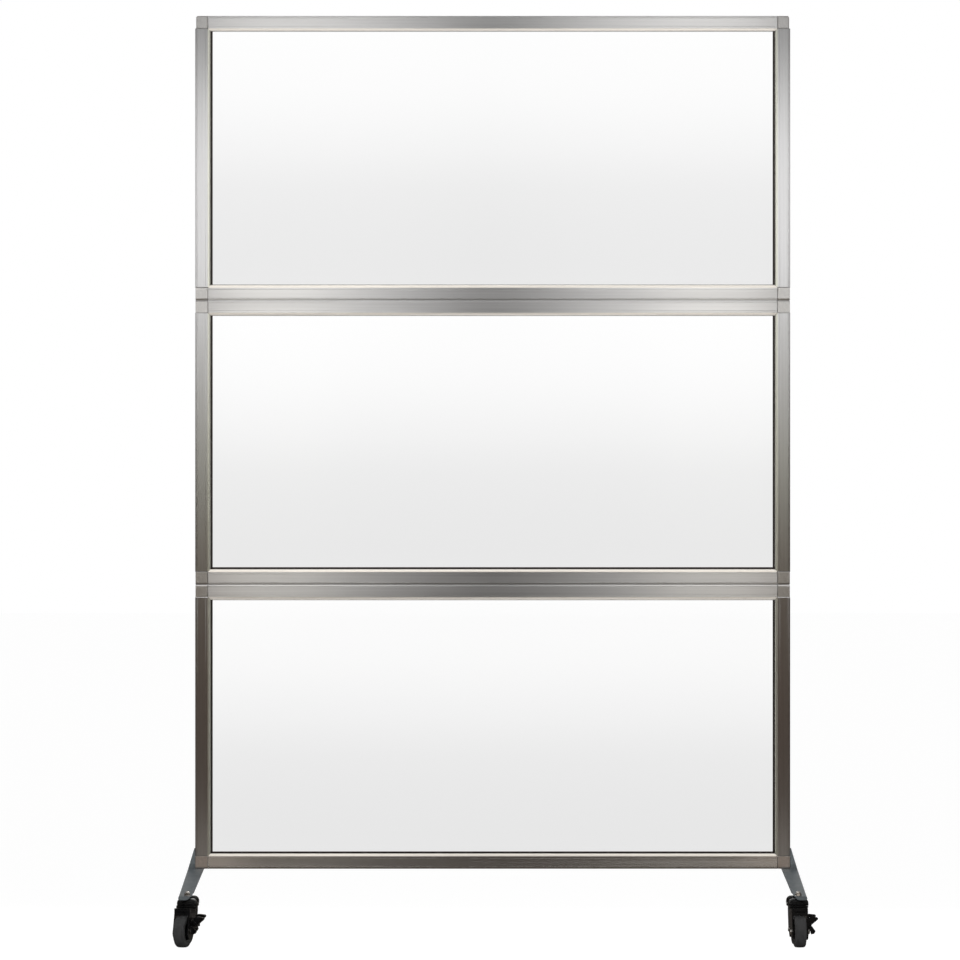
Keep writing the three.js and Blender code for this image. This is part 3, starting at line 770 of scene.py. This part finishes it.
def tyre_mesh():
    crown = WHEEL_RADIUS - TREAD_CROWN
    side = [(TYRE_INNER + out, inward - TYRE_HALF) for out, inward in TYRE_LIP]
    edge_centre = (TYRE_SHOULDER - TYRE_HALF, crown - TYRE_SHOULDER)
    round_edge = [(radius, width) for width, radius in arc(
        edge_centre, TYRE_SHOULDER, 180, 90, TYRE_STEPS)]
    left = side + round_edge
    right = [(radius, -width) for radius, width in reversed(left)]
    closed = left + [(WHEEL_RADIUS, 0)] + right + [left[0]]
    return mesh_from(lambda work: lathe(work, closed, ROUND_STEPS, "X", AXLE_PLACE))


def wheel_mesh():
    bore = AXLE_RADIUS + BORE_GAP
    hub_half = FORK_INNER - HUB_GAP
    half = [
        (bore, 0),
        (bore, hub_half - BORE_CHAMFER),
        (bore + BORE_CHAMFER, hub_half),
        (HUB_RADIUS - HUB_CHAMFER, hub_half),
        (HUB_RADIUS, hub_half - HUB_CHAMFER),
        (HUB_RADIUS + HUB_FOOT, WEB_HALF + WEB_FILLET),
        (HUB_RADIUS + HUB_SPREAD, WEB_HALF),
        (RIM_INNER - RIM_SPREAD, WEB_HALF),
        (RIM_INNER - RIM_LEAN, WEB_HALF + WEB_FILLET),
        (RIM_INNER, RIM_HALF - RIM_CHAMFER),
        (RIM_INNER + RIM_CHAMFER, RIM_HALF),
        (TYRE_INNER - SEAT_GAP, RIM_HALF),
    ]
    other = [(radius, -width) for radius, width in reversed(half)]
    profile = half + other[:-1] + [half[0]]

    def build(work):
        lathe(work, profile, ROUND_STEPS, "X", AXLE_PLACE)
        bmesh.ops.remove_doubles(work, verts=work.verts, dist=WELD_DISTANCE)

    return mesh_from(build)


def hexagon(width):
    radius = width / 2 / math.cos(math.pi / HEXAGON_SIDES)
    steps = HEXAGON_SIDES - 1
    return arc((0, 0), radius, 0, 360 * steps / HEXAGON_SIDES, steps)


def axle_mesh():
    start = FORK_OUTER + SEAT_GAP
    end = start + AXLE_HEAD_HEIGHT
    tip = end + AXLE_END
    profile = [
        (0, -start), (AXLE_RADIUS, -start), (AXLE_RADIUS, tip - AXLE_CHAMFER),
        (AXLE_RADIUS - AXLE_CHAMFER, tip), (0, tip),
    ]

    def on_axle(back, up, along):
        return (along, back - TRAIL, up + WHEEL_RADIUS)

    def build(work):
        lathe(work, profile, SMALL_STEPS, "X", AXLE_PLACE)
        for low, high in ((-end, -start), (start, end)):
            extrude_outline(work, hexagon(AXLE_HEAD_WIDTH), low, high, on_axle)

    return mesh_from(build)


def yoke_outline(rise):
    """The fork's top seen from above, with rounded corners, and wider by a rise on each side."""
    side = FORK_OUTER + rise - YOKE_CORNER
    back = YOKE_CORNER - FORK_BACK - rise
    front = FORK_FRONT + rise - YOKE_CORNER
    points = []
    for quarter, centre in enumerate(((side, back), (side, front), (-side, front), (-side, back))):
        start = 90 * (quarter - 1)
        points += arc(centre, YOKE_CORNER, start, start + 90, YOKE_STEPS)
    return points


def ear_outline():
    centre = (PIVOT[0], PIVOT[2])
    root = (FORK_INNER + FORK_OUTER) / 2
    low_end = (root, PIVOT[2] - EAR_RADIUS / 2)
    high_end = (root, PIVOT[2] + EAR_RISE)
    return [low_end] + arc(centre, EAR_RADIUS, *EAR_DEGREES, EAR_STEPS) + [high_end]


def fork_wall(work, low, high):
    shelf_back = PIVOT[1] + ROCKER_WIDTH / 2 + SLOT_GAP + WALL_SHELF
    top = [(FORK_FRONT, YOKE_TOP), (-FORK_BACK, YOKE_TOP), (-FORK_BACK, YOKE_BOTTOM)]
    end = arc((-TRAIL, WHEEL_RADIUS), FORK_END_RADIUS, *FORK_END_DEGREES, FORK_END_STEPS)
    shelf = [(shelf_back, SLOT_BOTTOM - WALL_SHELF), (FORK_FRONT, YOKE_BOTTOM)]
    extrude_outline(work, top + end + shelf, low, high, along_x)


def slot_cutter(work):
    reach = ROCKER_WIDTH / 2 + SLOT_GAP
    window = [(PIVOT[1] - reach, SLOT_BOTTOM), (PIVOT[1] + reach, SLOT_BOTTOM),
              (PIVOT[1] + reach, SLOT_TOP), (PIVOT[1] - reach, SLOT_TOP)]
    extrude_outline(work, window, 0, 2 * FORK_OUTER, along_x)


def fork_mesh():
    skirt_top = YOKE_TOP - YOKE_CORNER
    skirt = [(-FORK_OUTER, SKIRT_BOTTOM), (FORK_OUTER, SKIRT_BOTTOM),
             (FORK_OUTER, skirt_top), (-FORK_OUTER, skirt_top)]
    wall = mesh_from(lambda work: fork_wall(work, FORK_INNER, FORK_OUTER), scale=1)
    slotted = cut_mesh(wall, mesh_from(slot_cutter, scale=1))
    ear_start = ROCKER_WIDTH / 2 + EAR_GAP
    ear_end = ear_start + EAR_THICKNESS

    def build(work):
        work.from_mesh(slotted)
        fork_wall(work, -FORK_OUTER, -FORK_INNER)
        extrude_outline(work, yoke_outline(0), YOKE_BOTTOM, YOKE_TOP, along_z)
        extrude_outline(work, yoke_outline(RIB_RISE), RIB_BOTTOM, RIB_TOP, along_z)
        extrude_outline(work, skirt, -FORK_BACK, SKIRT_THICKNESS - FORK_BACK, along_y)
        for low, high in ((-ear_end, -ear_start), (ear_start, ear_end)):
            extrude_outline(work, ear_outline(), PIVOT[1] + low, PIVOT[1] + high, along_y)

    return mesh_from(build)


def race_mesh():
    """The race on the fork, and the rocker's pin."""
    groove = RACE_RADIUS - RACE_NECK
    bore = KINGPIN_RADIUS + BORE_GAP
    foot = YOKE_TOP - RACE_SINK
    rim = YOKE_TOP + groove
    edge_in, edge_up = RACE_EDGE
    profile = [
        (bore, foot), (RACE_NECK, foot), (RACE_NECK, rim),
        (RACE_RADIUS - edge_in, rim), (RACE_RADIUS, rim + edge_up),
        (RACE_RADIUS, RACE_TOP - groove), (RACE_RADIUS - RACE_TOP_EDGE, RACE_TOP - groove / 2),
        (RACE_NECK, RACE_TOP), (bore, RACE_TOP), (bore, foot),
    ]
    pin_end = ROCKER_WIDTH / 2 + EAR_THICKNESS
    pin = [(0, -pin_end), (PIN_RADIUS, -pin_end), (PIN_RADIUS, pin_end), (0, pin_end)]

    def build(work):
        lathe(work, profile, ROUND_STEPS)
        made = lathe(work, pin, SMALL_STEPS)
        pin_verts = [vert for ring in made for vert in ring]
        turn = Matrix.Translation(PIVOT) @ turn_about("X", 90)
        bmesh.ops.transform(work, matrix=turn, verts=pin_verts)
        bmesh.ops.remove_doubles(work, verts=work.verts, dist=WELD_DISTANCE)

    return mesh_from(build)


def head_mesh():
    swell = (HEAD_RADIUS - HEAD_SHOULDER - HEAD_TOP_RADIUS, HEAD_TOP - HEAD_SKIRT_TOP)
    dome = oval_arc((HEAD_TOP_RADIUS, HEAD_SKIRT_TOP), swell, 0, 90, HEAD_DOME_STEPS)
    groove_bed = HEAD_RADIUS - HEAD_GROOVE_DEPTH
    groove_radii = (HEAD_RADIUS, groove_bed, groove_bed, HEAD_RADIUS)
    groove = [(radius, HEAD_BOTTOM + up) for radius, up in zip(groove_radii, HEAD_GROOVE_HEIGHTS)]
    profile = [
        (0, KINGPIN_HEAD_BOTTOM),
        (KINGPIN_HEAD_RADIUS - KINGPIN_HEAD_CHAMFER, KINGPIN_HEAD_BOTTOM),
        (KINGPIN_HEAD_RADIUS, KINGPIN_HEAD_BOTTOM + KINGPIN_HEAD_CHAMFER),
        (KINGPIN_HEAD_RADIUS, KINGPIN_HEAD_TOP),
        (KINGPIN_RADIUS, KINGPIN_HEAD_TOP),
        (KINGPIN_RADIUS, HEAD_BOTTOM),
        (HEAD_RADIUS - HEAD_CHAMFER, HEAD_BOTTOM),
        (HEAD_RADIUS, HEAD_BOTTOM + HEAD_CHAMFER),
        *groove,
        *dome,
        (STEM_RADIUS, HEAD_TOP),
        (STEM_RADIUS, STEM_TOP - STEM_CHAMFER),
        (STEM_RADIUS - STEM_CHAMFER, STEM_TOP),
        (0, STEM_TOP),
    ]
    return mesh_from(lambda work: lathe(work, profile, ROUND_STEPS))


def nut_mesh():
    bore = STEM_RADIUS + SEAT_GAP
    roof = STEM_TOP + SEAT_GAP
    neck = NUT_WIDTH / 2 - NUT_DOME_INSET
    dome = oval_arc((0, NUT_HEX_TOP), (neck, NUT_TOP - NUT_HEX_TOP), 0, 90, NUT_DOME_STEPS)
    dome[-1] = (0, NUT_TOP)
    edge_in, edge_down = NUT_FLANGE_EDGE
    shell = [
        (0, roof), (bore, roof), (bore, NUT_BOTTOM),
        (NUT_FLANGE_RADIUS - NUT_FLANGE_CHAMFER, NUT_BOTTOM),
        (NUT_FLANGE_RADIUS, NUT_BOTTOM + NUT_FLANGE_CHAMFER),
        (NUT_FLANGE_RADIUS, NUT_FLANGE_TOP - edge_down),
        (NUT_FLANGE_RADIUS - edge_in, NUT_FLANGE_TOP),
        (neck, NUT_FLANGE_TOP), *dome,
    ]

    def build(work):
        lathe(work, shell, SMALL_STEPS)
        extrude_outline(work, hexagon(NUT_WIDTH), NUT_FLANGE_TOP - NUT_HEX_SINK, NUT_HEX_TOP, along_z)

    return mesh_from(build)


# The rocker's two pads seen from the front, as [outward, up] shares of its height from the pivot.
# The lip lies at the lower pad's far end and reaches further in.
LOCK_PAD_SHARES = (
    (-0.105, 0.34), (0.09, 0.45), (0.46, 0.41), (0.52, 0.345),
    (0.49, 0.26), (0.25, 0.06), (0.115, -0.06),
)
RELEASE_OUTER_SHARES = ((0.0625, -0.1375), (0.275, -0.385), (0.2625, -0.475), (0.2, -0.5625))
RELEASE_PAD_SHARES = ((0.0125, -0.1375), *RELEASE_OUTER_SHARES, (0.12, -0.6))
RELEASE_LIP_SHARES = ((-0.1, -0.1375), *RELEASE_OUTER_SHARES, (0.0125, -0.6125))


def rocker_mesh():
    def scaled(shares):
        return [(outward * ROCKER_HEIGHT, up * ROCKER_HEIGHT) for outward, up in shares]

    pad = scaled(LOCK_PAD_SHARES)
    outline = pad + [
        (pad[-1][0], -NOSE_BOTTOM), (-NOSE_REACH, -NOSE_BOTTOM),
        (-NOSE_REACH, -NOSE_TOP), (pad[0][0], -NOSE_TOP),
    ]
    (left, right), (low, high) = LINK_SIDES, LINK_HEIGHTS
    link = [(left, low), (right, low), (right, high), (left, high)]
    half = ROCKER_WIDTH / 2
    lip_end = RELEASE_FAR + RELEASE_LIP

    def from_pivot(outward, up, along):
        return (outward + PIVOT[0], along + PIVOT[1], up + PIVOT[2])

    def build(work):
        extrude_outline(work, outline, -half, half, from_pivot)
        extrude_outline(work, link, RELEASE_FAR, 0, from_pivot)
        extrude_outline(work, scaled(RELEASE_PAD_SHARES), RELEASE_FAR, RELEASE_NEAR, from_pivot)
        extrude_outline(work, scaled(RELEASE_LIP_SHARES), RELEASE_FAR, lip_end, from_pivot)

    return mesh_from(build)


def placed(mesh, place):
    copy = mesh.copy()
    copy.transform(place)
    return copy


def make_casters():
    joints = {joint["name"]: joint for joint in frame["joints"]}
    parts = (
        # node, mesh, material, body, bevel
        ("tyre", tyre_mesh(), "grey_tread", "wheel", None),
        ("wheel", wheel_mesh(), "black_plastic", "wheel", None),
        ("axle_bolt", axle_mesh(), "bright_steel", "caster", AXLE_BEVEL),
        ("fork", fork_mesh(), "black_plastic", "caster", FORK_BEVEL),
        ("swivel_head", head_mesh(), "black_plastic", None, None),
        ("cap_nut", nut_mesh(), "bright_steel", None, NUT_BEVEL),
        ("brake_rocker", rocker_mesh(), "black_plastic", "brake", ROCKER_BEVEL),
    )
    race = race_mesh()
    for end in ("front", "rear"):
        for side in ("left", "right"):
            caster = f"{end}_{side}"
            swivel = Vector(joints[f"{caster}_swivel"]["pos_m"])
            axle = Vector(joints[f"{caster}_wheel_spin"]["axis"])
            place = (Matrix.Translation((swivel.x, swivel.y, 0))
                     @ Matrix.Rotation(math.atan2(axle.y, axle.x), 4, "Z"))
            for node, mesh, slot, body, bevel in parts:
                piece = finish_piece(f"{caster}_{node}_form", placed(mesh, place), (slot,))
                if bevel:
                    add_bevel(piece, bevel)
                stand_in(piece, f"{caster}_{node}", f"{caster}_{body}" if body else "screen")
                if node == "fork":
                    ring = finish_piece(f"{caster}_race_form", placed(race, place), ("black_plastic",))
                    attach(ring, f"{caster}_caster")


make_sections()
make_casters()
for section in SECTIONS:
    dress_node(f"{section}_gasket", "black_rubber", GASKET_BEVEL)
    dress_node(f"{section}_pane", "clear_sheet", PANE_BEVEL)
for leg in ("left_leg", "right_leg"):
    dress_node(leg, "slate_paint", LEG_BEVEL, LEG_BEVEL_DEGREES)


# Floor, world, lamps, reflection cards and camera

def light_mix(tree, inside, plain, background):
    """Uses one shader for light and another where the camera, gloss or glass looks straight at it."""
    nodes, links = tree.nodes, tree.links
    path = nodes.new("ShaderNodeLightPath")
    seen = path.outputs["Is Camera Ray"]
    for ray in ("Is Glossy Ray", "Is Transmission Ray"):
        seen = math_node(tree, "MAXIMUM", seen, path.outputs[ray])
    mix = nodes.new("ShaderNodeMixShader")
    links.new(seen, mix.inputs["Fac"])
    links.new(plain.outputs[0], mix.inputs[1])
    links.new(background.outputs[0], mix.inputs[2])
    links.new(mix.outputs["Shader"], inside.inputs["Surface"])


def make_world():
    world = bpy.data.worlds.new("studio")
    bpy.context.scene.world = world
    world.use_nodes = True
    nodes = world.node_tree.nodes
    plain = nodes["Background"]
    plain.inputs["Color"].default_value = (1, 1, 1, 1)
    plain.inputs["Strength"].default_value = WORLD_STRENGTH
    white = nodes.new("ShaderNodeBackground")
    white.inputs["Color"].default_value = (1, 1, 1, 1)
    white.inputs["Strength"].default_value = 1
    light_mix(world.node_tree, nodes["World Output"], plain, white)


def flat_sheet(name, width, height):
    mesh = bpy.data.meshes.new(name)
    half_width, half_height = width / 2, height / 2
    corners = [(-half_width, -half_height, 0), (half_width, -half_height, 0),
               (half_width, half_height, 0), (-half_width, half_height, 0)]
    mesh.from_pydata(corners, [], [(0, 1, 2, 3)])
    sheet = bpy.data.objects.new(name, mesh)
    bpy.context.scene.collection.objects.link(sheet)
    return sheet


def make_floor():
    floor = flat_sheet("floor", FLOOR_SIDE, FLOOR_SIDE)
    material = bpy.data.materials.new("floor")
    material.use_nodes = True
    nodes = material.node_tree.nodes
    paint = nodes["Principled BSDF"]
    paint.inputs["Base Color"].default_value = (FLOOR_PAINT, FLOOR_PAINT, FLOOR_PAINT, 1)
    paint.inputs["Roughness"].default_value = FLOOR_ROUGHNESS
    paint.inputs["Specular IOR Level"].default_value = FLOOR_SPECULAR
    glow = nodes.new("ShaderNodeEmission")
    glow.inputs["Strength"].default_value = FLOOR_GLOW
    blend = nodes.new("ShaderNodeMixShader")
    blend.inputs["Fac"].default_value = FLOOR_GLOW_SHARE
    material.node_tree.links.new(paint.outputs[0], blend.inputs[1])
    material.node_tree.links.new(glow.outputs[0], blend.inputs[2])
    light_mix(material.node_tree, nodes["Material Output"], paint, blend)
    floor.data.materials.append(material)


# What the cards show metal and gloss. Heights and distances from the middle are in metres.
UP_COLORS = (
    (0, (0.2, 0.18, 0.165)),
    (0.2, (0.36, 0.33, 0.3)),
    (0.26, (0.2, 0.175, 0.155)),
    (0.33, (0.1, 0.078, 0.064)),
    (0.6, (0.125, 0.096, 0.078)),
    (0.83, (0.16, 0.13, 0.107)),
    (0.98, (0.4, 0.36, 0.3)),
    (1.07, (0.5, 0.485, 0.42)),
    (1.19, (0.8, 0.79, 0.7)),
    (1.31, (0.86, 0.845, 0.81)),
    (1.48, (0.75, 0.75, 0.745)),
    (1.65, (0.93, 0.93, 0.94)),
    (1.97, (0.93, 0.93, 0.94)),
    (2.05, (0.8, 0.8, 0.8)),
    (2.13, (0.5, 0.5, 0.5)),
    (2.25, (0.27, 0.27, 0.27)),
    (3.4, (0.24, 0.24, 0.24)),
)
# Levels across, as (distance from the middle, level), each reached at its height
LOW_LEVELS = ((0, 0.18), (0.58, 0.18), (0.66, 0.85), (0.95, 0.85), (1.2, 0.08))
MIDDLE_LEVELS = (
    (0, 0), (0.1, 0.01), (0.22, 0.05), (0.34, 0.22), (0.46, 0.96), (0.64, 1), (0.74, 0.06),
)
HIGH_LEVELS = (
    (0, 0.22), (0.1, 0.46), (0.22, 0.74), (0.34, 0.94), (0.46, 0.98), (0.64, 0.96), (0.8, 0.3),
)
ACROSS = ((0.7, LOW_LEVELS), (1, MIDDLE_LEVELS), (1.25, MIDDLE_LEVELS), (1.6, HIGH_LEVELS))


def glowing_sheet(name, width, height, strength):
    """A reflector that only metal and gloss see. Gives the sheet and its emission node."""
    sheet = flat_sheet(name, width, height)
    material = bpy.data.materials.new(name)
    material.use_nodes = True
    tree = material.node_tree
    tree.nodes.remove(tree.nodes["Principled BSDF"])
    glow = tree.nodes.new("ShaderNodeEmission")
    glow.inputs["Strength"].default_value = strength
    tree.links.new(glow.outputs["Emission"], tree.nodes["Material Output"].inputs["Surface"])
    sheet.data.materials.append(material)
    sheet.visible_camera = False
    sheet.visible_diffuse = False
    sheet.visible_transmission = False
    sheet.visible_shadow = False
    return sheet, glow


# Where a mix node keeps what it blends, when it blends colours
MIX_FACTOR, MIX_LOW, MIX_HIGH = 0, 6, 7
MIX_RESULT = 2


def blend_nodes(tree, factor, low, high):
    mix = tree.nodes.new("ShaderNodeMix")
    mix.data_type = "RGBA"
    tree.links.new(factor, mix.inputs[MIX_FACTOR])
    tree.links.new(low, mix.inputs[MIX_LOW])
    tree.links.new(high, mix.inputs[MIX_HIGH])
    return mix.outputs[MIX_RESULT]


def make_card(name, y):
    """A big soft reflector: bright above, dark and brown below, and dimmer in the middle."""
    card, glow = glowing_sheet(name, CARD_WIDTH, CARD_HEIGHT, CARD_STRENGTH)
    tree = card.data.materials[0].node_tree
    card.location = (0, y, CARD_HEIGHT / 2)
    card.rotation_euler = (math.radians(90), 0, 0)
    coordinates = tree.nodes.new("ShaderNodeTexCoord")
    split = tree.nodes.new("ShaderNodeSeparateXYZ")
    tree.links.new(coordinates.outputs["Generated"], split.inputs["Vector"])
    height, width = split.outputs["Y"], split.outputs["X"]
    from_middle = math_node(tree, "ABSOLUTE", math_node(tree, "SUBTRACT", width, MIDDLE_SHARE))
    up = ramp(tree, height, [(at / CARD_HEIGHT, color) for at, color in UP_COLORS])
    patterns = []
    for _, levels in ACROSS:
        stops = [(at / CARD_WIDTH, level) for at, level in levels]
        patterns.append(ramp(tree, from_middle, stops))
    across = patterns[0]
    for (start, _), (end, _), pattern in zip(ACROSS, ACROSS[1:], patterns[1:]):
        reached = ((start / CARD_HEIGHT, 0), (end / CARD_HEIGHT, 1))
        across = blend_nodes(tree, ramp(tree, height, reached), across, pattern)
    times = tree.nodes.new("ShaderNodeVectorMath")
    times.operation = "MULTIPLY"
    tree.links.new(up, times.inputs[0])
    tree.links.new(across, times.inputs[1])
    tree.links.new(times.outputs["Vector"], glow.inputs["Color"])


def make_flag(name, place, lean, width, color):
    """A plain card that closes the space round the screen for metal and gloss."""
    flag, glow = glowing_sheet(name, width, 2 * CARD_DISTANCE, 1)
    flag.location = place
    flag.rotation_euler = (0, math.radians(lean), 0)
    glow.inputs["Color"].default_value = (*color, 1)


def make_flags():
    half_width = CARD_WIDTH / 2
    middle = CARD_HEIGHT / 2
    make_flag("floor_flag", (0, 0, FLAG_HEIGHT), 0, CARD_WIDTH, FLOOR_FLAG_COLOR)
    make_flag("ceiling_card", (0, 0, CARD_HEIGHT), 0, CARD_WIDTH, CEILING_COLOR)
    make_flag("left_flag", (-half_width, 0, middle), 90, CARD_HEIGHT, SIDE_FLAG_COLOR)
    make_flag("right_flag", (half_width, 0, middle), 90, CARD_HEIGHT, SIDE_FLAG_COLOR)
    x, y, z = STRIP_PLACE
    for side, name in ((1, "front_strip"), (-1, "rear_strip")):
        strip, _ = glowing_sheet(name, *STRIP_SIZE, STRIP_STRENGTH)
        strip.location = (x, side * y, z)


def make_lamp(name, place, power):
    light = bpy.data.lights.new(name, "AREA")
    light.shape = "SQUARE"
    light.size = LAMP_SIZE
    light.energy = power
    lamp = bpy.data.objects.new(name, light)
    bpy.context.scene.collection.objects.link(lamp)
    lamp.location = place
    lamp.rotation_mode = "QUATERNION"
    lamp.rotation_quaternion = (Vector(LAMP_TARGET) - Vector(place)).to_track_quat("-Z", "Y")
    lamp.visible_camera = False
    lamp.visible_glossy = False


def make_camera():
    data = bpy.data.cameras.new("camera")
    data.sensor_width = SENSOR
    data.lens = SENSOR * CAMERA_DISTANCE / PHOTO_SIDE
    data.clip_end = CLIP_DISTANCE
    camera = bpy.data.objects.new("camera", data)
    bpy.context.scene.collection.objects.link(camera)
    camera.location = (CAMERA_X, -CAMERA_DISTANCE, CAMERA_HEIGHT)
    camera.rotation_euler = (math.radians(90), 0, 0)
    bpy.context.scene.camera = camera


make_world()
make_floor()
make_card("front_card", -CARD_DISTANCE)
make_card("rear_card", CARD_DISTANCE)
make_flags()
for name, place, power in LAMPS:
    make_lamp(name, place, power)
make_camera()
bpy.context.scene.view_settings.view_transform = "Standard"
